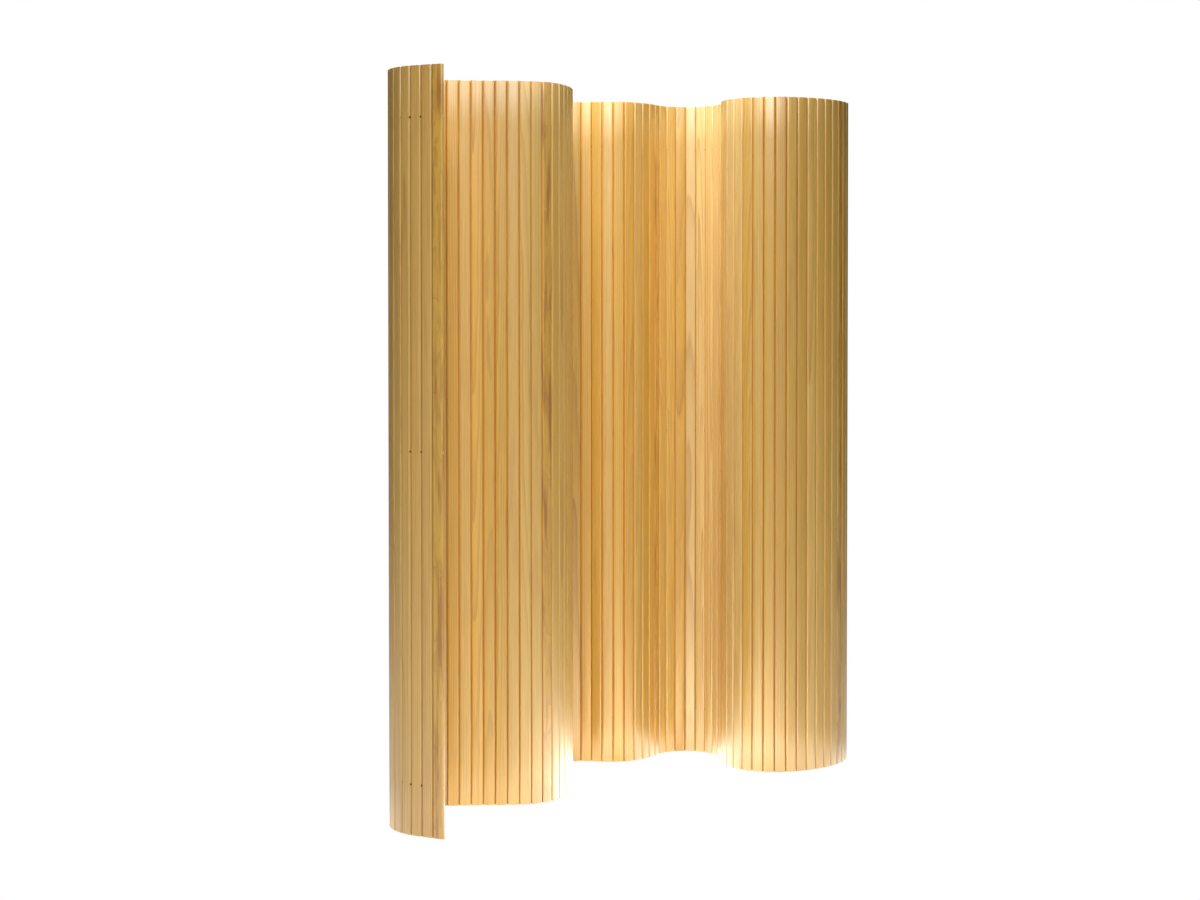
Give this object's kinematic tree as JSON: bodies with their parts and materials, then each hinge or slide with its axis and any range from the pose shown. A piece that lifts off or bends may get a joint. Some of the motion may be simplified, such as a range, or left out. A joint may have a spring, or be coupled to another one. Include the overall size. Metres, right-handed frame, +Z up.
{
  "type": "flexible slatted screen",
  "caption": "Free-standing room screen of upright rounded pine slats threaded on wires, bending at every gap, shown standing in an S-shaped curve.",
  "frame": {"origin": "middle of the screen's box on the floor, as it stands in its curve", "axes": "+Z up along the slats, +X to the right and +Y to the back as the picture looks at it"},
  "size_m": [0.9868, 0.8872, 1.5],
  "materials": {
    "pine": "clear satin lacquer",
    "plug_wood": "clear satin lacquer",
    "wire_steel": "dull drawn wire",
    "ferrule_aluminium": "crimped, dull"
  },
  "bodies": {
    "slats_01_02": {"slats_01_02": "pine", "left_wire_ferrules": "ferrule_aluminium", "left_edge_plugs": "plug_wood"},
    "slats_03_04": {"slats_03_04": "pine"},
    "slats_05_06": {"slats_05_06": "pine"},
    "slats_07_08": {"slats_07_08": "pine"},
    "slats_09_10": {"slats_09_10": "pine"},
    "slats_11_12": {"slats_11_12": "pine"},
    "slats_13_14": {"slats_13_14": "pine"},
    "slats_15_16": {"slats_15_16": "pine"},
    "slats_17_18": {"slats_17_18": "pine"},
    "slats_19_20": {"slats_19_20": "pine"},
    "slats_21_22": {"slats_21_22": "pine"},
    "slat_23": {"slat_23": "pine"},
    "slat_24": {"slat_24": "pine"},
    "slat_25": {"slat_25": "pine"},
    "slat_26": {"slat_26": "pine"},
    "slats_27_28": {"slats_27_28": "pine"},
    "slats_29_30": {"slats_29_30": "pine"},
    "slats_31_32": {"slats_31_32": "pine"},
    "slats_33_34": {"slats_33_34": "pine"},
    "slats_35_36": {"slats_35_36": "pine"},
    "slats_37_38": {"slats_37_38": "pine"},
    "slat_39": {"slat_39": "pine"},
    "slat_40": {"slat_40": "pine"},
    "slat_41": {"slat_41": "pine"},
    "slat_42": {"slat_42": "pine"},
    "slat_43": {"slat_43": "pine"},
    "slat_44": {"slat_44": "pine", "wire_bottom": "wire_steel", "wire_middle": "wire_steel", "wire_top": "wire_steel"},
    "slat_45": {"slat_45": "pine"},
    "slat_46": {"slat_46": "pine"},
    "slat_47": {"slat_47": "pine"},
    "slat_48": {"slat_48": "pine"},
    "slat_49": {"slat_49": "pine"},
    "slat_50": {"slat_50": "pine"},
    "slats_51_52": {"slats_51_52": "pine"},
    "slat_53": {"slat_53": "pine"},
    "slat_54": {"slat_54": "pine"},
    "slat_55": {"slat_55": "pine"},
    "slat_56": {"slat_56": "pine"},
    "slat_57": {"slat_57": "pine"},
    "slat_58": {"slat_58": "pine"},
    "slat_59": {"slat_59": "pine"},
    "slat_60": {"slat_60": "pine"},
    "slat_61": {"slat_61": "pine"},
    "slat_62": {"slat_62": "pine"},
    "slats_63_64": {"slats_63_64": "pine"},
    "slats_65_66": {"slats_65_66": "pine"},
    "slats_67_68": {"slats_67_68": "pine"},
    "slats_69_70": {"slats_69_70": "pine"},
    "slats_71_72": {"slats_71_72": "pine"},
    "slats_73_74": {"slats_73_74": "pine"},
    "slats_75_76": {"slats_75_76": "pine"},
    "slats_77_78": {"slats_77_78": "pine"},
    "slats_79_80": {"slats_79_80": "pine", "right_wire_ferrules": "ferrule_aluminium", "right_edge_plugs": "plug_wood"}
  },
  "joints": [
    {"name": "gap_02_03", "type": "hinge", "parent": "slats_03_04", "child": "slats_01_02", "pos_m": [-0.41857, -0.41766, 0], "axis": [0, 0, -1], "range_deg": [-21, 23], "deforming": ["wire_bottom", "wire_middle", "wire_top"]},
    {"name": "gap_04_05", "type": "hinge", "parent": "slats_05_06", "child": "slats_03_04", "pos_m": [-0.45899, -0.38872, 0], "axis": [0, 0, 1], "range_deg": [-34.2, 9.8], "deforming": ["wire_bottom", "wire_middle", "wire_top"]},
    {"name": "gap_06_07", "type": "hinge", "parent": "slats_07_08", "child": "slats_05_06", "pos_m": [-0.48385, -0.34567, 0], "axis": [0, 0, -1], "range_deg": [-9.8, 34.2], "deforming": ["wire_bottom", "wire_middle", "wire_top"]},
    {"name": "gap_08_09", "type": "hinge", "parent": "slats_09_10", "child": "slats_07_08", "pos_m": [-0.4887, -0.29619, 0], "axis": [0, 0, 1], "range_deg": [-23, 21], "deforming": ["wire_bottom", "wire_middle", "wire_top"]},
    {"name": "gap_10_11", "type": "hinge", "parent": "slats_11_12", "child": "slats_09_10", "pos_m": [-0.48696, -0.24622, 0], "axis": [0, 0, -1], "range_deg": [-10.29, 33.71], "deforming": ["wire_bottom", "wire_middle", "wire_top"]},
    {"name": "gap_12_13", "type": "hinge", "parent": "slats_13_14", "child": "slats_11_12", "pos_m": [-0.46989, -0.1995, 0], "axis": [0, 0, 1], "range_deg": [-33.71, 10.29], "deforming": ["wire_bottom", "wire_middle", "wire_top"]},
    {"name": "gap_14_15", "type": "hinge", "parent": "slats_15_16", "child": "slats_13_14", "pos_m": [-0.43565, -0.16342, 0], "axis": [0, 0, -1], "range_deg": [-10.29, 33.71], "deforming": ["wire_bottom", "wire_middle", "wire_top"]},
    {"name": "gap_16_17", "type": "hinge", "parent": "slats_17_18", "child": "slats_15_16", "pos_m": [-0.38989, -0.14393, 0], "axis": [0, 0, 1], "range_deg": [-33.71, 10.29], "deforming": ["wire_bottom", "wire_middle", "wire_top"]},
    {"name": "gap_18_19", "type": "hinge", "parent": "slats_19_20", "child": "slats_17_18", "pos_m": [-0.34009, -0.1394, 0], "axis": [0, 0, -1], "range_deg": [-21.4, 22.6], "deforming": ["wire_bottom", "wire_middle", "wire_top"]},
    {"name": "gap_20_21", "type": "hinge", "parent": "slats_21_22", "child": "slats_19_20", "pos_m": [-0.29022, -0.13591, 0], "axis": [0, 0, 1], "range_deg": [-22.6, 21.4], "deforming": ["wire_bottom", "wire_middle", "wire_top"]},
    {"name": "gap_22_23", "type": "hinge", "parent": "slat_23", "child": "slats_21_22", "pos_m": [-0.24028, -0.13347, 0], "axis": [0, 0, -1], "range_deg": [-35.2, 8.8], "deforming": ["wire_bottom", "wire_middle", "wire_top"]},
    {"name": "gap_23_24", "type": "hinge", "parent": "slat_24", "child": "slat_23", "pos_m": [-0.21621, -0.1267, 0], "axis": [0, 0, 1], "range_deg": [-8.8, 35.2], "deforming": ["wire_bottom", "wire_middle", "wire_top"]},
    {"name": "gap_24_25", "type": "hinge", "parent": "slat_25", "child": "slat_24", "pos_m": [-0.19432, -0.11462, 0], "axis": [0, 0, -1], "range_deg": [-35.2, 8.8], "deforming": ["wire_bottom", "wire_middle", "wire_top"]},
    {"name": "gap_25_26", "type": "hinge", "parent": "slat_26", "child": "slat_25", "pos_m": [-0.17577, -0.09786, 0], "axis": [0, 0, 1], "range_deg": [-8.8, 35.2], "deforming": ["wire_bottom", "wire_middle", "wire_top"]},
    {"name": "gap_26_27", "type": "hinge", "parent": "slats_27_28", "child": "slat_26", "pos_m": [-0.16154, -0.07731, 0], "axis": [0, 0, -1], "range_deg": [-35.2, 8.8], "deforming": ["wire_bottom", "wire_middle", "wire_top"]},
    {"name": "gap_28_29", "type": "hinge", "parent": "slats_29_30", "child": "slats_27_28", "pos_m": [-0.14516, -0.03011, 0], "axis": [0, 0, 1], "range_deg": [-17.27, 26.73], "deforming": ["wire_bottom", "wire_middle", "wire_top"]},
    {"name": "gap_30_31", "type": "hinge", "parent": "slats_31_32", "child": "slats_29_30", "pos_m": [-0.13676, 0.01914, 0], "axis": [0, 0, -1], "range_deg": [-26.73, 17.27], "deforming": ["wire_bottom", "wire_middle", "wire_top"]},
    {"name": "gap_32_33", "type": "hinge", "parent": "slats_33_34", "child": "slats_31_32", "pos_m": [-0.13656, 0.06909, 0], "axis": [0, 0, 1], "range_deg": [-17.27, 26.73], "deforming": ["wire_bottom", "wire_middle", "wire_top"]},
    {"name": "gap_34_35", "type": "hinge", "parent": "slats_35_36", "child": "slats_33_34", "pos_m": [-0.14458, 0.1184, 0], "axis": [0, 0, -1], "range_deg": [-26.73, 17.27], "deforming": ["wire_bottom", "wire_middle", "wire_top"]},
    {"name": "gap_36_37", "type": "hinge", "parent": "slats_37_38", "child": "slats_35_36", "pos_m": [-0.16058, 0.16573, 0], "axis": [0, 0, 1], "range_deg": [-17.27, 26.73], "deforming": ["wire_bottom", "wire_middle", "wire_top"]},
    {"name": "gap_38_39", "type": "hinge", "parent": "slat_39", "child": "slats_37_38", "pos_m": [-0.18414, 0.20978, 0], "axis": [0, 0, -1], "range_deg": [-4.38, 39.62], "deforming": ["wire_bottom", "wire_middle", "wire_top"]},
    {"name": "gap_39_40", "type": "hinge", "parent": "slat_40", "child": "slat_39", "pos_m": [-0.18971, 0.23415, 0], "axis": [0, 0, 1], "range_deg": [-39.62, 4.38], "deforming": ["wire_bottom", "wire_middle", "wire_top"]},
    {"name": "gap_40_41", "type": "hinge", "parent": "slat_41", "child": "slat_40", "pos_m": [-0.18764, 0.25907, 0], "axis": [0, 0, -1], "range_deg": [-4.38, 39.62], "deforming": ["wire_bottom", "wire_middle", "wire_top"]},
    {"name": "gap_41_42", "type": "hinge", "parent": "slat_42", "child": "slat_41", "pos_m": [-0.17812, 0.28219, 0], "axis": [0, 0, 1], "range_deg": [-39.62, 4.38], "deforming": ["wire_bottom", "wire_middle", "wire_top"]},
    {"name": "gap_42_43", "type": "hinge", "parent": "slat_43", "child": "slat_42", "pos_m": [-0.16205, 0.30134, 0], "axis": [0, 0, -1], "range_deg": [-4.38, 39.62], "deforming": ["wire_bottom", "wire_middle", "wire_top"]},
    {"name": "gap_43_44", "type": "hinge", "parent": "slat_44", "child": "slat_43", "pos_m": [-0.14094, 0.31472, 0], "axis": [0, 0, 1], "range_deg": [-39.62, 4.38], "deforming": ["wire_bottom", "wire_middle", "wire_top"]},
    {"name": "gap_44_45", "type": "hinge", "parent": "slat_44", "child": "slat_45", "pos_m": [-0.11676, 0.32109, 0], "axis": [0, 0, 1], "range_deg": [-4.38, 39.62], "deforming": ["wire_bottom", "wire_middle", "wire_top"]},
    {"name": "gap_45_46", "type": "hinge", "parent": "slat_45", "child": "slat_46", "pos_m": [-0.09179, 0.31984, 0], "axis": [0, 0, -1], "range_deg": [-39.62, 4.38], "deforming": ["wire_bottom", "wire_middle", "wire_top"]},
    {"name": "gap_46_47", "type": "hinge", "parent": "slat_46", "child": "slat_47", "pos_m": [-0.06837, 0.31108, 0], "axis": [0, 0, 1], "range_deg": [-38, 6], "deforming": ["wire_bottom", "wire_middle", "wire_top"]},
    {"name": "gap_47_48", "type": "hinge", "parent": "slat_47", "child": "slat_48", "pos_m": [-0.04345, 0.30912, 0], "axis": [0, 0, -1], "range_deg": [-6, 38], "deforming": ["wire_bottom", "wire_middle", "wire_top"]},
    {"name": "gap_48_49", "type": "hinge", "parent": "slat_48", "child": "slat_49", "pos_m": [-0.01895, 0.3141, 0], "axis": [0, 0, 1], "range_deg": [-38, 6], "deforming": ["wire_bottom", "wire_middle", "wire_top"]},
    {"name": "gap_49_50", "type": "hinge", "parent": "slat_49", "child": "slat_50", "pos_m": [0.00322, 0.32565, 0], "axis": [0, 0, -1], "range_deg": [-6, 38], "deforming": ["wire_bottom", "wire_middle", "wire_top"]},
    {"name": "gap_50_51", "type": "hinge", "parent": "slat_50", "child": "slats_51_52", "pos_m": [0.02136, 0.34286, 0], "axis": [0, 0, 1], "range_deg": [-29, 15], "deforming": ["wire_bottom", "wire_middle", "wire_top"]},
    {"name": "gap_52_53", "type": "hinge", "parent": "slats_51_52", "child": "slat_53", "pos_m": [0.05069, 0.38323, 0], "axis": [0, 0, -1], "range_deg": [-15, 29], "deforming": ["wire_bottom", "wire_middle", "wire_top"]},
    {"name": "gap_53_54", "type": "hinge", "parent": "slat_53", "child": "slat_54", "pos_m": [0.06145, 0.4058, 0], "axis": [0, 0, 1], "range_deg": [-3.71, 40.29], "deforming": ["wire_bottom", "wire_middle", "wire_top"]},
    {"name": "gap_54_55", "type": "hinge", "parent": "slat_54", "child": "slat_55", "pos_m": [0.07875, 0.42384, 0], "axis": [0, 0, -1], "range_deg": [-40.29, 3.71], "deforming": ["wire_bottom", "wire_middle", "wire_top"]},
    {"name": "gap_55_56", "type": "hinge", "parent": "slat_55", "child": "slat_56", "pos_m": [0.10084, 0.43555, 0], "axis": [0, 0, 1], "range_deg": [-3.71, 40.29], "deforming": ["wire_bottom", "wire_middle", "wire_top"]},
    {"name": "gap_56_57", "type": "hinge", "parent": "slat_56", "child": "slat_57", "pos_m": [0.12549, 0.43974, 0], "axis": [0, 0, -1], "range_deg": [-40.29, 3.71], "deforming": ["wire_bottom", "wire_middle", "wire_top"]},
    {"name": "gap_57_58", "type": "hinge", "parent": "slat_57", "child": "slat_58", "pos_m": [0.1502, 0.43598, 0], "axis": [0, 0, 1], "range_deg": [-3.71, 40.29], "deforming": ["wire_bottom", "wire_middle", "wire_top"]},
    {"name": "gap_58_59", "type": "hinge", "parent": "slat_58", "child": "slat_59", "pos_m": [0.17249, 0.42466, 0], "axis": [0, 0, -1], "range_deg": [-40.29, 3.71], "deforming": ["wire_bottom", "wire_middle", "wire_top"]},
    {"name": "gap_59_60", "type": "hinge", "parent": "slat_59", "child": "slat_60", "pos_m": [0.1901, 0.40692, 0], "axis": [0, 0, 1], "range_deg": [-3.71, 40.29], "deforming": ["wire_bottom", "wire_middle", "wire_top"]},
    {"name": "gap_60_61", "type": "hinge", "parent": "slat_60", "child": "slat_61", "pos_m": [0.20126, 0.38454, 0], "axis": [0, 0, -1], "range_deg": [-33.33, 10.67], "deforming": ["wire_bottom", "wire_middle", "wire_top"]},
    {"name": "gap_61_62", "type": "hinge", "parent": "slat_61", "child": "slat_62", "pos_m": [0.2078, 0.36042, 0], "axis": [0, 0, 1], "range_deg": [-10.67, 33.33], "deforming": ["wire_bottom", "wire_middle", "wire_top"]},
    {"name": "gap_62_63", "type": "hinge", "parent": "slat_62", "child": "slats_63_64", "pos_m": [0.20947, 0.33547, 0], "axis": [0, 0, -1], "range_deg": [-33.33, 10.67], "deforming": ["wire_bottom", "wire_middle", "wire_top"]},
    {"name": "gap_64_65", "type": "hinge", "parent": "slats_63_64", "child": "slats_65_66", "pos_m": [0.20851, 0.28579, 0], "axis": [0, 0, 1], "range_deg": [-34.78, 9.22], "deforming": ["wire_bottom", "wire_middle", "wire_top"]},
    {"name": "gap_66_67", "type": "hinge", "parent": "slats_65_66", "child": "slats_67_68", "pos_m": [0.22907, 0.24056, 0], "axis": [0, 0, -1], "range_deg": [-9.22, 34.78], "deforming": ["wire_bottom", "wire_middle", "wire_top"]},
    {"name": "gap_68_69", "type": "hinge", "parent": "slats_67_68", "child": "slats_69_70", "pos_m": [0.26713, 0.20862, 0], "axis": [0, 0, 1], "range_deg": [-34.78, 9.22], "deforming": ["wire_bottom", "wire_middle", "wire_top"]},
    {"name": "gap_70_71", "type": "hinge", "parent": "slats_69_70", "child": "slats_71_72", "pos_m": [0.31525, 0.19622, 0], "axis": [0, 0, -1], "range_deg": [-9.22, 34.78], "deforming": ["wire_bottom", "wire_middle", "wire_top"]},
    {"name": "gap_72_73", "type": "hinge", "parent": "slats_71_72", "child": "slats_73_74", "pos_m": [0.36401, 0.2058, 0], "axis": [0, 0, 1], "range_deg": [-29, 15], "deforming": ["wire_bottom", "wire_middle", "wire_top"]},
    {"name": "gap_74_75", "type": "hinge", "parent": "slats_73_74", "child": "slats_75_76", "pos_m": [0.40808, 0.22923, 0], "axis": [0, 0, -1], "range_deg": [-15, 29], "deforming": ["wire_bottom", "wire_middle", "wire_top"]},
    {"name": "gap_76_77", "type": "hinge", "parent": "slats_75_76", "child": "slats_77_78", "pos_m": [0.44516, 0.26262, 0], "axis": [0, 0, 1], "range_deg": [-29, 15], "deforming": ["wire_bottom", "wire_middle", "wire_top"]},
    {"name": "gap_78_79", "type": "hinge", "parent": "slats_77_78", "child": "slats_79_80", "pos_m": [0.47307, 0.304, 0], "axis": [0, 0, -1], "range_deg": [-15, 29], "deforming": ["wire_bottom", "wire_middle", "wire_top"]}
  ]
}
